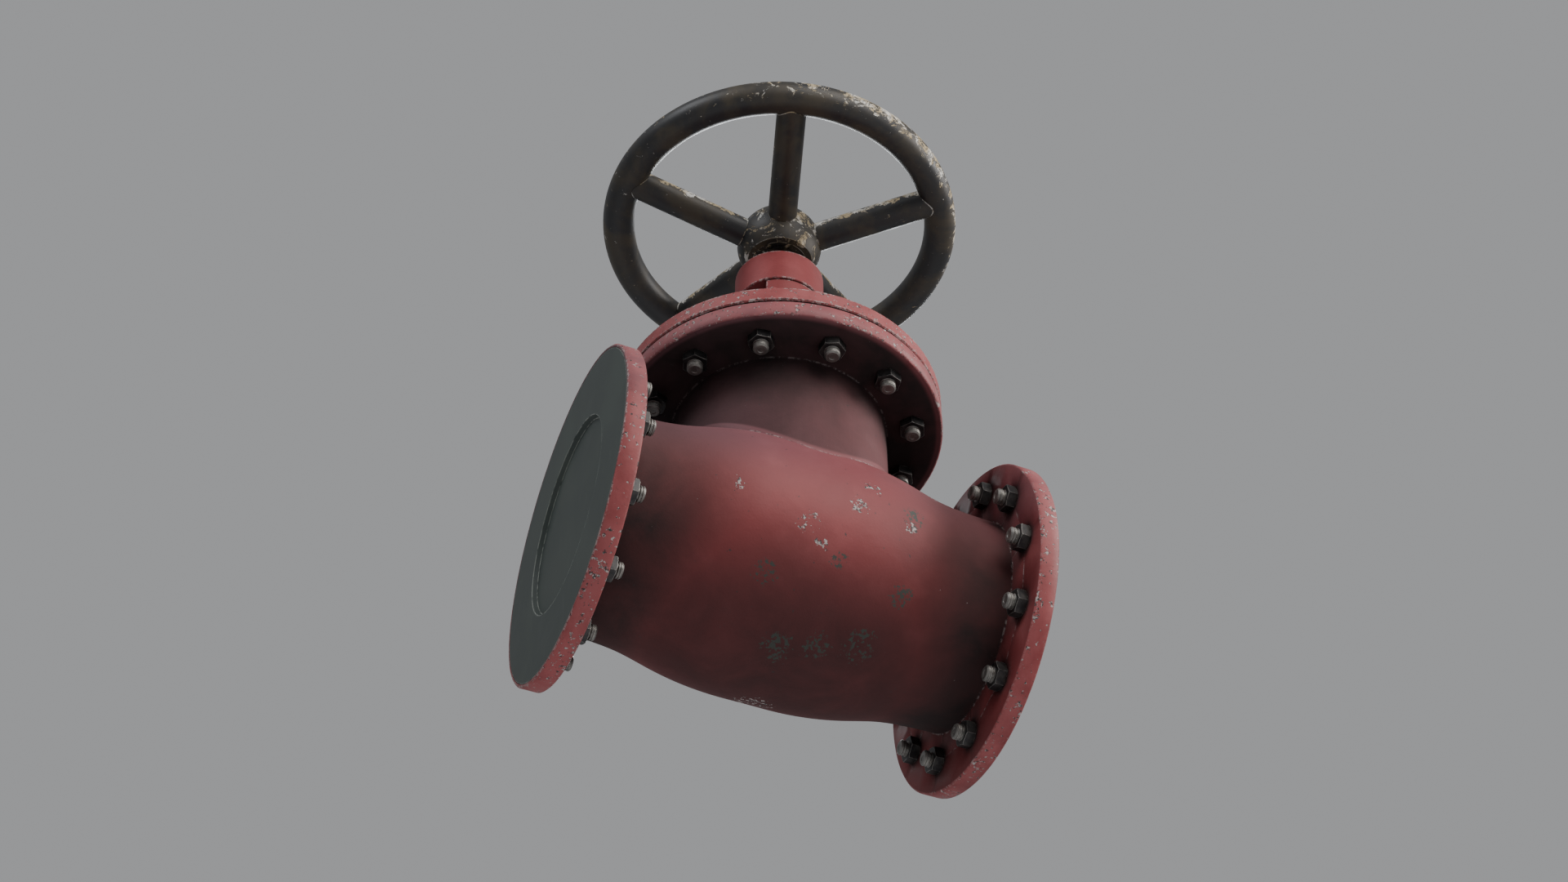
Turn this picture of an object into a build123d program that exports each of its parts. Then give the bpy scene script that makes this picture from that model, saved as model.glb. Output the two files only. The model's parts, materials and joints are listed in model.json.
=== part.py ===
from build123d import *
import math
import os

# Flanged globe valve, millimetres. +X along the pipe towards the outlet, +Z up the stem.
# The nodes named body_ and the seat bridge are one casting, held as simple lengths.
# Origin: centre of the outlet flange's gasket face.

LENGTH = 438.0
STEM_X = -LENGTH / 2
INLET_X = -LENGTH

FLANGE_R = 170.0
FLANGE_T = 19.5
RIM_CHAMFER = 1.5
PORT_R = 99.0
PORT_DEPTH = 50.0
PORT_CORE_END = LENGTH / 2 - PORT_DEPTH

COVER_R = 166.2
COVER_LIP_T = 3.4
COVER_STEP_R = 105.7
COVER_STEP_X = 9.0
COVER_SKIRT_R = 98.6

BARREL_JOINT = 90.0

BOLT_CIRCLE_R = 138.0
BOLT_COUNT = 12
STUD_R = 8.0
STUD_HOLE_R = 8.05
STUD_NECK_R = 6.6
STUD_OUT = 18.0
STUD_SEAT = 10.5
TAP_R = 7.0
NUT_AF = 24.0
NUT_H = 10.0
NUT_BORE_R = 8.02
NUT_TWIST = 8.0

NECK_R = 111.0
NECK_BORE_R = 99.0
BONNET_R = 169.3
BONNET_Z = 193.3
GASKET_Z = 212.9
COVER_Z = 214.9
BONNET_TOP_Z = 233.4

SEAT_WEB_TOP = 4.0
SEAT_WEB_BOTTOM = -10.0
SEAT_TOP_Z = 12.0
SEAT_BORE_R = 75.0
SEAT_SPIGOT_R = 82.0
SEAT_RIM_R = 90.0

# Stem and disc as they stand now, 33 mm above the shut position.
SHUT_DROP = 33.0
DISC_FACE_Z = SEAT_TOP_Z + SHUT_DROP + 0.05
DISC_R = 86.0
STEM_R = 16.0
STEM_RUN_R = 16.06
BUTTON_R = 22.0
BUTTON_Z = DISC_FACE_Z + 12.0
BUTTON_H = 10.0
BACKSEAT_COLLAR_Z = 160.0

BOX_R = 26.0
BOX_FLOOR_Z = 238.0
BOX_TOP_Z = 292.0
TOWER_R = 40.0
PACKING_COUNT = 5
PACKING_H = 9.0
GLAND_STUD_X = 38.0
GLAND_STUD_R = 5.0

YOKE_BASE_TOP_Z = 246.0
YOKE_ARM_HALF_WIDTH = 29.5
YOKE_NECK_Z = 366.0
YOKE_NECK_R = 46.5
YOKE_HUB_R = 48.7
YOKE_HUB_Z = (390.9, 436.9)
YOKE_BOLT_R = 80.0
YOKE_BOLT_ANGLES = (28.0, 152.0, 208.0, 332.0)
STEM_NUT_R = 30.0

HUB_R = 47.3
HUB_Z = 502.0
HUB_BOTTOM_Z = 472.6
HUB_TOP_Z = 545.0
HUB_SEAT_Z = 484.0
HUB_BORE_R = 12.0
SPOKE_COUNT = 5
SPOKE_FIRST_DEG = 36.0
SPOKE_R = 16.2
SPOKE_AXIS_Z = 497.0
RIM_R = 181.8
RIM_TUBE_R = 17.8
RIM_Z = 533.2
WHEEL_THREAD_R = 10.0
STEM_TOP_Z = 569.0


def cyl_z(radius, z0, z1, x=STEM_X, y=0.0):
    """Cylinder standing on z0 and reaching z1."""
    base = (Align.CENTER, Align.CENTER, Align.MIN)
    return Pos(x, y, z0) * Cylinder(radius, z1 - z0, align=base)


def cyl_x(radius, x0, x1, y=0.0, z=0.0):
    """Cylinder lying along the pipe from x0 to x1."""
    base = (Align.CENTER, Align.CENTER, Align.MIN)
    return Pos(x0, y, z) * Rot(0, 90, 0) * Cylinder(radius, x1 - x0, align=base)


def block(x0, x1, y0, y1, z0, z1):
    """Box between two corners."""
    size = Box(x1 - x0, y1 - y0, z1 - z0)
    return Pos((x0 + x1) / 2, (y0 + y1) / 2, (z0 + z1) / 2) * size


def turned_z(points, x=STEM_X, y=0.0):
    """Solid turned about a vertical axis from (radius, z) points."""
    outline = make_face(Polyline(*[(r, 0, z) for r, z in points], close=True))
    return Pos(x, y, 0) * revolve(outline, Axis.Z, 360)


def turned_x(points):
    """Solid turned about the pipe axis from (x, radius) points."""
    outline = make_face(Polyline(*[(x, r, 0) for x, r in points], close=True))
    return revolve(outline, Axis.X, 360)


def barrel(stations):
    """Bulging solid about the pipe axis through (distance from stem axis, radius) stations."""
    right = [(STEM_X + d, r) for d, r in stations]
    left = [(STEM_X - d, r) for d, r in reversed(stations[1:])]
    points = left + right
    curve = Spline(*points)
    sides = Polyline(points[-1], (points[-1][0], 0), (points[0][0], 0), points[0])
    return revolve(make_face(curve + sides), Axis.X, 360)


def round_plate_z(radius, z0, z1, chamfer):
    """Flat round plate with both rims bevelled."""
    return turned_z([
        (0, z0), (radius - chamfer, z0), (radius, z0 + chamfer),
        (radius, z1 - chamfer), (radius - chamfer, z1), (0, z1),
    ])


def round_plate_x(radius, x0, x1, chamfer):
    """Flat round pipe flange with both rims bevelled."""
    return turned_x([
        (x0, 0), (x0, radius - chamfer), (x0 + chamfer, radius),
        (x1 - chamfer, radius), (x1, radius - chamfer), (x1, 0),
    ])


def hex_nut(across_flats, height, bore_r):
    """Nut on z 0 with its corners turned off at both faces."""
    corner_r = across_flats / math.sqrt(3)
    bevel = (corner_r - across_flats / 2) * 0.7
    prism = extrude(RegularPolygon(corner_r, 6), height)
    turned = turned_z([
        (0, 0), (corner_r - bevel, 0), (corner_r + 0.01, bevel * 0.6),
        (corner_r + 0.01, height - bevel * 0.6), (corner_r - bevel, height), (0, height),
    ], x=0)
    nut = prism & turned
    if bore_r:
        nut -= Cylinder(bore_r, 3 * height)
    return nut


def stud(length, seat, nut_h):
    """Stud on z 0: plain seat, threaded through its nut, necked and bevelled beyond it."""
    neck = seat + nut_h
    return turned_z([
        (0, 0), (STUD_R, 0), (STUD_R, neck), (STUD_NECK_R, neck + 0.8),
        (STUD_NECK_R, neck + 2.2), (STUD_R, neck + 3.0), (STUD_R, length - 1.6),
        (STUD_R - 1.6, length), (0, length),
    ], x=0)


def circle_angles(count):
    """Even bolt positions, in degrees."""
    return [360.0 / count * i for i in range(count)]


def circle_points(radius, angles):
    """Points round a circle at the given angles."""
    turns = [math.radians(a) for a in angles]
    return [(radius * math.cos(t), radius * math.sin(t)) for t in turns]


def on_flange(piece, x, angle, facing):
    """Place a piece built along +Z on the pipe flange's bolt circle, pointing along facing X."""
    turn = Rot(0, 90 * facing, 0)
    y = BOLT_CIRCLE_R * math.cos(math.radians(angle))
    z = BOLT_CIRCLE_R * math.sin(math.radians(angle))
    return Pos(x, y, z) * turn * piece


def on_bonnet(piece, z, angle, facing):
    """Place a piece built along +Z on the bonnet's bolt circle, pointing up or down."""
    turn = Rot(0, 0, 0) if facing > 0 else Rot(180, 0, 0)
    x = STEM_X + BOLT_CIRCLE_R * math.cos(math.radians(angle))
    y = BOLT_CIRCLE_R * math.sin(math.radians(angle))
    return Pos(x, y, z) * turn * piece


def cavity():
    """Hollow of the barrel, port to port."""
    return barrel([
        (0, 118.0), (33, 117.5), (66, 115.0), (100, 108.5), (133, 102.0),
        (PORT_CORE_END, PORT_R),
    ])


def seat_bridge():
    """Wall inside the barrel that turns the flow up through the seat."""
    half = 132.0
    outline = [
        (-134, 125), (-118, 125), (-90, SEAT_WEB_TOP), (104, SEAT_WEB_TOP),
        (134, -125), (118, -125), (90, SEAT_WEB_BOTTOM), (-104, SEAT_WEB_BOTTOM),
    ]
    face = make_face(Polyline(*[(STEM_X + x, -half, z) for x, z in outline], close=True))
    wall = extrude(face, 2 * half, dir=(0, 1, 0))
    web_hole = cyl_z(SEAT_SPIGOT_R + 0.05, SEAT_WEB_BOTTOM - 5, SEAT_WEB_TOP + 5)
    return (wall & cavity()) - web_hole


def barrel_outside():
    """Outer form of the barrel, from one flange back to the other."""
    return barrel([
        (0, 129.5), (33, 129.5), (66, 127.0), (100, 121.0), (133, 113.5), (166, 110.0),
        (LENGTH / 2 - FLANGE_T, 109.0),
    ])


def barrel_part(x0, x1):
    """Length of the barrel's wall between two places along the pipe."""
    wall = barrel_outside() & block(x0, x1, -FLANGE_R, FLANGE_R, -FLANGE_R, FLANGE_R)
    wall -= cavity()
    wall -= cyl_x(PORT_R, -PORT_DEPTH - 1, 1)
    wall -= cyl_x(PORT_R, INLET_X - 1, INLET_X + PORT_DEPTH + 1)
    return wall - cyl_z(NECK_BORE_R, 60, BONNET_Z)


def body_neck():
    """Neck that stands on the barrel and carries the bonnet flange."""
    neck = cyl_z(NECK_R, 20, BONNET_Z) - cyl_z(NECK_BORE_R, 19, BONNET_Z + 1)
    return neck - barrel_outside()


def body_bonnet_flange():
    """Top flange of the body, with its twelve through holes."""
    flange = round_plate_z(BONNET_R, BONNET_Z, GASKET_Z, RIM_CHAMFER)
    flange -= cyl_z(NECK_BORE_R, BONNET_Z - 1, GASKET_Z + 1)
    for x, y in circle_points(BOLT_CIRCLE_R, circle_angles(BOLT_COUNT)):
        flange -= cyl_z(STUD_HOLE_R, BONNET_Z - 1, GASKET_Z + 1, STEM_X + x, y)
    return flange


def body_outlet_flange():
    """Outlet flange: stud seats behind, open tappings in front."""
    flange = round_plate_x(FLANGE_R, -FLANGE_T, 0, RIM_CHAMFER)
    flange -= cyl_x(PORT_R, -FLANGE_T - 1, 1)
    for y, z in circle_points(BOLT_CIRCLE_R, circle_angles(BOLT_COUNT)):
        flange -= cyl_x(STUD_HOLE_R, -FLANGE_T - 1, STUD_SEAT - FLANGE_T, y, z)
        flange -= cyl_x(TAP_R, -FLANGE_T - 1, 1, y, z)
    return flange


def body_inlet_flange():
    """Inlet flange: rebated for the cover, with stud seats behind."""
    flange = round_plate_x(FLANGE_R, INLET_X, INLET_X + FLANGE_T, RIM_CHAMFER)
    flange -= cyl_x(PORT_R, INLET_X - 1, INLET_X + FLANGE_T + 1)
    flange -= cyl_x(COVER_R + 0.3, INLET_X - 1, INLET_X + COVER_LIP_T + 0.1)
    flange -= cyl_x(COVER_STEP_R + 0.3, INLET_X, INLET_X + COVER_STEP_X + 5)
    for y, z in circle_points(BOLT_CIRCLE_R, circle_angles(BOLT_COUNT)):
        back = INLET_X + FLANGE_T
        flange -= cyl_x(STUD_HOLE_R, back - STUD_SEAT, back + 1, y, z)
    return flange


def seat_ring():
    """Ring pressed into the seat bridge, bevelled on its sealing edge."""
    return turned_z([
        (SEAT_BORE_R, SEAT_WEB_BOTTOM), (SEAT_SPIGOT_R, SEAT_WEB_BOTTOM),
        (SEAT_SPIGOT_R, SEAT_WEB_TOP), (SEAT_RIM_R, SEAT_WEB_TOP),
        (SEAT_RIM_R, SEAT_TOP_Z - 2), (SEAT_RIM_R - 2, SEAT_TOP_Z),
        (SEAT_BORE_R + 3, SEAT_TOP_Z), (SEAT_BORE_R, SEAT_TOP_Z - 3),
    ])


def inlet_cover():
    """Push-in cover: full-face plate with a dished centre and a skirt inside the port."""
    outline = [
        (5.0, 0), (5.0, 97.2), (0, 99.3), (0, COVER_R - 0.5), (0.5, COVER_R),
        (COVER_LIP_T, COVER_R), (COVER_LIP_T, COVER_STEP_R), (COVER_STEP_X, COVER_STEP_R),
        (COVER_STEP_X, COVER_SKIRT_R), (24.0, COVER_SKIRT_R), (24.0, COVER_SKIRT_R - 3),
        (8.5, COVER_SKIRT_R - 3), (8.5, 0),
    ]
    return turned_x([(INLET_X + x, r) for x, r in outline])


def flange_studs(x_back, facing):
    """Twelve studs standing off the back of a pipe flange."""
    one = stud(STUD_SEAT + STUD_OUT, STUD_SEAT, NUT_H)
    start = x_back - facing * STUD_SEAT
    return [on_flange(one, start, a, facing) for a in circle_angles(BOLT_COUNT)]


def flange_nuts(x_back, facing):
    """Nuts drawn down on the back of a pipe flange."""
    one = hex_nut(NUT_AF, NUT_H, NUT_BORE_R)
    turned = [Rot(0, 0, NUT_TWIST * (i % 3)) * one for i in range(BOLT_COUNT)]
    return [
        on_flange(nut, x_back, a, facing)
        for nut, a in zip(turned, circle_angles(BOLT_COUNT))
    ]


def bonnet_studs():
    """Studs through both bonnet flanges, necked and bevelled at each end."""
    half = (BONNET_TOP_Z - BONNET_Z) / 2
    upper = stud(half + STUD_OUT, half, NUT_H)
    one = upper + Rot(180, 0, 0) * upper
    middle = BONNET_Z + half
    return [on_bonnet(one, middle, a, 1) for a in circle_angles(BOLT_COUNT)]


def bonnet_nuts(z, facing):
    """Nuts on one side of the bonnet joint."""
    one = hex_nut(NUT_AF, NUT_H, NUT_BORE_R)
    turned = [Rot(0, 0, 2 * NUT_TWIST * i) * one for i in range(BOLT_COUNT)]
    return [
        on_bonnet(nut, z, a, facing)
        for nut, a in zip(turned, circle_angles(BOLT_COUNT))
    ]


def bonnet_gasket():
    """Ring gasket inside the bolt circle of the bonnet joint."""
    return cyl_z(127.0, GASKET_Z, COVER_Z) - cyl_z(NECK_BORE_R, GASKET_Z - 1, COVER_Z + 1)


def bonnet_cover():
    """Bonnet plate with its spigot, stuffing box and gland ears."""
    cover = round_plate_z(BONNET_R, COVER_Z, BONNET_TOP_Z, RIM_CHAMFER)
    cover += cyl_z(NECK_BORE_R - 0.3, 204.0, COVER_Z + 1)
    cover += cyl_z(TOWER_R, BONNET_TOP_Z - 1, BOX_TOP_Z)
    for side in (-1, 1):
        ear = Pos(STEM_X + side * GLAND_STUD_X, 0, 262.0)
        ear_solid = Cylinder(12.0, 30.0, align=(Align.CENTER, Align.CENTER, Align.MIN))
        cover += ear * ear_solid
        cover -= cyl_z(GLAND_STUD_R, 268.0, BOX_TOP_Z + 1, STEM_X + side * GLAND_STUD_X)
    cover -= cyl_z(BOX_R, BOX_FLOOR_Z, BOX_TOP_Z + 1)
    cover -= cyl_z(21.0, 200.0, BOX_FLOOR_Z + 1)
    for x, y in circle_points(BOLT_CIRCLE_R, circle_angles(BOLT_COUNT)):
        cover -= cyl_z(STUD_HOLE_R, COVER_Z - 1, BONNET_TOP_Z + 1, STEM_X + x, y)
    for x, y in circle_points(YOKE_BOLT_R, YOKE_BOLT_ANGLES):
        cover -= cyl_z(6.0, BONNET_TOP_Z - 13, BONNET_TOP_Z + 1, STEM_X + x, y)
    return cover


def backseat_bush():
    """Guide bush under the packing, coned below to take the stem's collar."""
    return turned_z([
        (STEM_RUN_R + 4, 200.0), (21.0, 200.0), (21.0, BOX_FLOOR_Z), (STEM_RUN_R, BOX_FLOOR_Z),
        (STEM_RUN_R, 204.0),
    ])


def packing_rings():
    """Stack of square packing rings round the stem."""
    rings = []
    for i in range(PACKING_COUNT):
        low = BOX_FLOOR_Z + PACKING_H * i
        ring = cyl_z(BOX_R - 0.05, low + 0.1, low + PACKING_H - 0.1)
        rings.append(ring - cyl_z(STEM_RUN_R, low - 1, low + PACKING_H + 1))
    return rings


def gland_follower():
    """Two-bolt gland: sleeve in the box under an oval flange."""
    bottom = BOX_FLOOR_Z + PACKING_COUNT * PACKING_H
    gland = cyl_z(BOX_R - 0.1, bottom, 300.0) + cyl_z(29.0, 298.0, 310.0)
    for side in (-1, 1):
        gland += cyl_z(13.0, 298.0, 310.0, STEM_X + side * GLAND_STUD_X)
    gland += block(STEM_X - GLAND_STUD_X, STEM_X + GLAND_STUD_X, -13, 13, 298.0, 310.0)
    gland -= cyl_z(STEM_RUN_R + 0.02, bottom - 1, 311.0)
    for side in (-1, 1):
        gland -= cyl_z(GLAND_STUD_R + 0.5, 297.0, 311.0, STEM_X + side * GLAND_STUD_X)
    return gland


def gland_studs():
    """Pair of studs rising from the stuffing box ears."""
    one = turned_z([
        (0, 268.0), (GLAND_STUD_R, 268.0), (GLAND_STUD_R, 325.0),
        (GLAND_STUD_R - 1, 326.0), (0, 326.0),
    ], x=0)
    return [Pos(STEM_X + side * GLAND_STUD_X, 0, 0) * one for side in (-1, 1)]


def gland_nuts():
    """Pair of nuts holding the gland down."""
    one = hex_nut(19.0, 10.0, GLAND_STUD_R + 0.02)
    return [Pos(STEM_X + side * GLAND_STUD_X, 0, 310.0) * one for side in (-1, 1)]


def yoke_arm(side):
    """One arm: bowed clear of the gland, then upright under the yoke hub."""
    outline = [
        (84, BONNET_TOP_Z), (84, 262), (75, 318), (50, YOKE_NECK_Z), (50, 396),
        (31, 396), (31, 372), (56, 314), (64, 262), (64, BONNET_TOP_Z),
    ]
    half = YOKE_ARM_HALF_WIDTH
    corners = [(STEM_X - half, side * y, z) for y, z in outline]
    face = make_face(FilletPolyline(*corners, radius=5.0, close=True))
    arm = extrude(face, 2 * half, dir=(1, 0, 0))
    flanks = arm.faces().filter_by(Axis.X).edges()
    arm = fillet(flanks.filter_by_position(Axis.Z, 250, 388), 3.0)
    outside = block(STEM_X - 60, STEM_X + 60, -60, 60, YOKE_NECK_Z, 400)
    return arm - (outside - cyl_z(YOKE_NECK_R, YOKE_NECK_Z - 1, 401))


def yoke():
    """Yoke: base ring, two arms and the hub that holds the stem nut."""
    frame = cyl_z(96.0, BONNET_TOP_Z, YOKE_BASE_TOP_Z)
    frame += yoke_arm(-1) + yoke_arm(1)
    hub_low, hub_top = YOKE_HUB_Z
    frame += turned_z([
        (0, hub_low), (YOKE_HUB_R - 1, hub_low), (YOKE_HUB_R, hub_low + 1),
        (YOKE_HUB_R, hub_top - 1), (YOKE_HUB_R - 1, hub_top), (0, hub_top),
    ])
    frame -= cyl_z(TOWER_R + 6, BONNET_TOP_Z - 1, YOKE_BASE_TOP_Z + 10)
    frame -= cyl_z(STEM_NUT_R, hub_low - 10, hub_top + 1)
    frame -= Pos(STEM_X, 0, 414.0) * Rot(-90, 0, 0) * Cylinder(
        4.0, 60.0, align=(Align.CENTER, Align.CENTER, Align.MIN)
    )
    for x, y in circle_points(YOKE_BOLT_R, YOKE_BOLT_ANGLES):
        frame -= cyl_z(6.5, BONNET_TOP_Z - 1, YOKE_BASE_TOP_Z + 1, STEM_X + x, y)
    return frame


def yoke_bolts():
    """Four hex-head screws holding the yoke's base ring down."""
    screws = []
    for x, y in circle_points(YOKE_BOLT_R, YOKE_BOLT_ANGLES):
        head = Pos(STEM_X + x, y, YOKE_BASE_TOP_Z) * hex_nut(19.0, 8.0, 0)
        shank = cyl_z(5.95, BONNET_TOP_Z - 12, YOKE_BASE_TOP_Z + 0.5, STEM_X + x, y)
        screws.append(head + shank)
    return screws


def stem_nut():
    """Threaded bush in the yoke hub, collared above, with a dimple for its set screw."""
    low, top = YOKE_HUB_Z
    nut = turned_z([
        (STEM_RUN_R, low - 4), (STEM_NUT_R - 0.02, low - 4), (STEM_NUT_R - 0.02, top),
        (35.0, top), (35.0, top + 1.2), (34.0, top + 2.0), (STEM_RUN_R, top + 2.0),
    ])
    return nut - Pos(STEM_X, 26.0, 414.0) * Rot(-90, 0, 0) * Cylinder(
        4.0, 10.0, align=(Align.CENTER, Align.CENTER, Align.MIN)
    )


def stem_nut_screw():
    """Set screw through the back of the yoke hub."""
    screw = Cylinder(3.95, 22.0, align=(Align.CENTER, Align.CENTER, Align.MIN))
    socket = extrude(RegularPolygon(2.3, 6), 4.0)
    return Pos(STEM_X, 26.2, 414.0) * Rot(-90, 0, 0) * (screw - Pos(0, 0, 18.1) * socket)


def disc():
    """Valve disc with a pocket for the stem's button and a groove for its face ring."""
    low = DISC_FACE_Z
    return turned_z([
        (0, low), (66.0, low), (66.0, low + 4), (84.0, low + 4), (84.0, low + 1),
        (DISC_R, low + 1), (DISC_R, low + 24), (80.0, low + 28), (38.0, low + 30),
        (36.0, low + 48), (30.0, low + 48), (30.0, low + 11), (0, low + 11),
    ])


def disc_face_ring():
    """Soft face ring let into the disc's underside, over the seat."""
    low = DISC_FACE_Z
    return cyl_z(83.95, low, low + 4) - cyl_z(66.05, low - 1, low + 5)


def disc_retainer():
    """Screwed ring that keeps the stem's button in the disc."""
    low = BUTTON_Z + BUTTON_H + 0.2
    top = DISC_FACE_Z + 48
    ring = cyl_z(29.95, low, top)
    ring += Pos(STEM_X, 0, top) * hex_nut(56.0, 9.0, 0)
    return ring - cyl_z(STEM_RUN_R, low - 1, top + 10)


def stem():
    """Stem: button, backseat collar, screwed length, wheel seat and top thread."""
    top = BUTTON_Z + BUTTON_H
    collar = BACKSEAT_COLLAR_Z
    rod = turned_z([
        (0, BUTTON_Z), (BUTTON_R - 1, BUTTON_Z), (BUTTON_R, BUTTON_Z + 1), (BUTTON_R, top),
        (STEM_R, top), (STEM_R, collar), (21.0, collar + 4), (21.0, collar + 12),
        (STEM_R, collar + 17), (STEM_R, HUB_SEAT_Z), (HUB_BORE_R - 0.02, HUB_SEAT_Z),
        (HUB_BORE_R - 0.02, HUB_TOP_Z - 1), (WHEEL_THREAD_R, HUB_TOP_Z - 1),
        (WHEEL_THREAD_R, STEM_TOP_Z - 1.5), (WHEEL_THREAD_R - 1.5, STEM_TOP_Z),
        (0, STEM_TOP_Z),
    ])
    return rod - key_block()


def key_block():
    """Parallel key's own space, half in the stem and half in the wheel hub."""
    return block(STEM_X + 8.0, STEM_X + 15.3, -4.0, 4.0, 495.0, 525.0)


def hub_ball():
    """Ball of the handwheel hub, flattened above and below."""
    ball = Pos(STEM_X, 0, HUB_Z) * Sphere(HUB_R)
    return ball & cyl_z(HUB_R + 5, HUB_BOTTOM_Z, HUB_TOP_Z)


def handwheel_hub():
    """Hub with its underside relief, bore and keyway."""
    hub = hub_ball()
    hub -= cyl_z(30.0, HUB_BOTTOM_Z - 1, HUB_SEAT_Z)
    hub -= cyl_z(HUB_BORE_R, HUB_BOTTOM_Z, HUB_TOP_Z + 1)
    return hub - block(STEM_X, STEM_X + 15.3, -4.0, 4.0, HUB_SEAT_Z - 1, HUB_TOP_Z + 1)


def handwheel_rim():
    """Round-section rim of the handwheel."""
    return Pos(STEM_X, 0, RIM_Z) * Torus(RIM_R, RIM_TUBE_R)


def handwheel_spokes():
    """Round spokes rising from the hub to the rim."""
    rise = RIM_Z + 0.3 - SPOKE_AXIS_Z
    tilt = math.degrees(math.atan2(RIM_R, rise))
    length = math.hypot(RIM_R, rise)
    start = 30.0
    bar = Pos(0, 0, start) * Cylinder(
        SPOKE_R, length - start, align=(Align.CENTER, Align.CENTER, Align.MIN)
    )
    spokes = []
    for angle in circle_angles(SPOKE_COUNT):
        turn = Rot(0, 0, SPOKE_FIRST_DEG + angle) * Rot(0, tilt, 0)
        whole = Pos(STEM_X, 0, SPOKE_AXIS_Z) * turn * bar
        spokes.append(whole - hub_ball() - handwheel_rim())
    return spokes


def wheel_washer():
    """Plain washer on the hub's top flat."""
    washer = cyl_z(19.0, HUB_TOP_Z, HUB_TOP_Z + 3)
    return washer - cyl_z(WHEEL_THREAD_R + 0.4, HUB_TOP_Z - 1, HUB_TOP_Z + 4)


def wheel_nut():
    """Nut that holds the handwheel on the stem."""
    return Pos(STEM_X, 0, HUB_TOP_Z + 3) * hex_nut(30.0, 15.0, WHEEL_THREAD_R + 0.02)


def as_shape(made):
    """One STEP shape from a solid or a list of solids."""
    if isinstance(made, list):
        return Compound(children=[s for item in made for s in item.solids()])
    solids = made.solids()
    return solids[0] if len(solids) == 1 else Compound(children=list(solids))


OUTLET_BACK = -FLANGE_T
INLET_BACK = INLET_X + FLANGE_T

NODES = {
    "body_barrel": lambda: barrel_part(STEM_X - BARREL_JOINT, STEM_X + BARREL_JOINT),
    "body_barrel_inlet_end": lambda: barrel_part(INLET_BACK, STEM_X - BARREL_JOINT),
    "body_barrel_outlet_end": lambda: barrel_part(STEM_X + BARREL_JOINT, OUTLET_BACK),
    "body_neck": body_neck,
    "body_bonnet_flange": body_bonnet_flange,
    "body_inlet_flange": body_inlet_flange,
    "body_outlet_flange": body_outlet_flange,
    "seat_bridge": seat_bridge,
    "seat_ring": seat_ring,
    "inlet_cover": inlet_cover,
    "inlet_studs": lambda: flange_studs(INLET_BACK, 1),
    "inlet_nuts": lambda: flange_nuts(INLET_BACK, 1),
    "outlet_studs": lambda: flange_studs(OUTLET_BACK, -1),
    "outlet_nuts": lambda: flange_nuts(OUTLET_BACK, -1),
    "bonnet_gasket": bonnet_gasket,
    "bonnet_cover": bonnet_cover,
    "bonnet_studs": bonnet_studs,
    "bonnet_nuts_lower": lambda: bonnet_nuts(BONNET_Z, -1),
    "bonnet_nuts_upper": lambda: bonnet_nuts(BONNET_TOP_Z, 1),
    "backseat_bush": backseat_bush,
    "packing_rings": packing_rings,
    "gland_follower": gland_follower,
    "gland_studs": gland_studs,
    "gland_nuts": gland_nuts,
    "yoke": yoke,
    "yoke_bolts": yoke_bolts,
    "stem_nut": stem_nut,
    "stem_nut_screw": stem_nut_screw,
    "disc": disc,
    "disc_face_ring": disc_face_ring,
    "disc_retainer": disc_retainer,
    "stem": stem,
    "wheel_key": key_block,
    "handwheel_hub": handwheel_hub,
    "handwheel_spokes": handwheel_spokes,
    "handwheel_rim": handwheel_rim,
    "wheel_washer": wheel_washer,
    "wheel_nut": wheel_nut,
}

os.makedirs("parts", exist_ok=True)
for name, make in NODES.items():
    export_step(as_shape(make()), f"parts/{name}.step")
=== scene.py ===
import json
import math

import bmesh
import bpy
from mathutils import Matrix, Vector


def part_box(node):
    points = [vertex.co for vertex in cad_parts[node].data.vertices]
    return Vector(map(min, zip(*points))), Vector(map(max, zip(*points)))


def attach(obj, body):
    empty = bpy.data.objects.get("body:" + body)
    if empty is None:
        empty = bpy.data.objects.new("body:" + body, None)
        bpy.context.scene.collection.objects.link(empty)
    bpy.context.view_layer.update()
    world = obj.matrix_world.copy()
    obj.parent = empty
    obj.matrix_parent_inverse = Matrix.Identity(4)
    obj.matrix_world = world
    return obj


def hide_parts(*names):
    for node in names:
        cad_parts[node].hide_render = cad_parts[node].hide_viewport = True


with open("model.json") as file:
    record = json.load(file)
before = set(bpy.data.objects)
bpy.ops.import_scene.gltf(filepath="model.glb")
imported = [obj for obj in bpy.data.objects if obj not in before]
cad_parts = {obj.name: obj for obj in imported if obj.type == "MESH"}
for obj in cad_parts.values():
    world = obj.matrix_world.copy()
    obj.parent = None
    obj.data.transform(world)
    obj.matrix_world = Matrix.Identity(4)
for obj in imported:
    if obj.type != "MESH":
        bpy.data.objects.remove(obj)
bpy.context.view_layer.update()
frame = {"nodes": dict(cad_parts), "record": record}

# Places and sizes in metres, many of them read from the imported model. +X is the pipe,
# +Z the stem.
STEM_LOW, STEM_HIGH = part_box("stem")
STEM_X = (STEM_LOW.x + STEM_HIGH.x) / 2
RIM_LOW, RIM_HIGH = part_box("handwheel_rim")
RIM_TUBE = (RIM_HIGH.z - RIM_LOW.z) / 2
RIM_RADIUS = (RIM_HIGH.y - RIM_LOW.y) / 2 - RIM_TUBE
RIM_Z = (RIM_HIGH.z + RIM_LOW.z) / 2
HUB_LOW, HUB_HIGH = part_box("handwheel_hub")
BONNET_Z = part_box("body_bonnet_flange")[0].z
BARREL_JOINTS = [corner.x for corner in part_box("body_barrel")]
WORN_SIDE = math.radians(-45)
BOLT_COUNT = 12
STUD_R = 0.008
STUD_OUT = 0.018
NUT_H = 0.010
THREAD_PITCH = 0.002
STEM_PITCH = 0.006
STEM_R = 0.016
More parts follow.
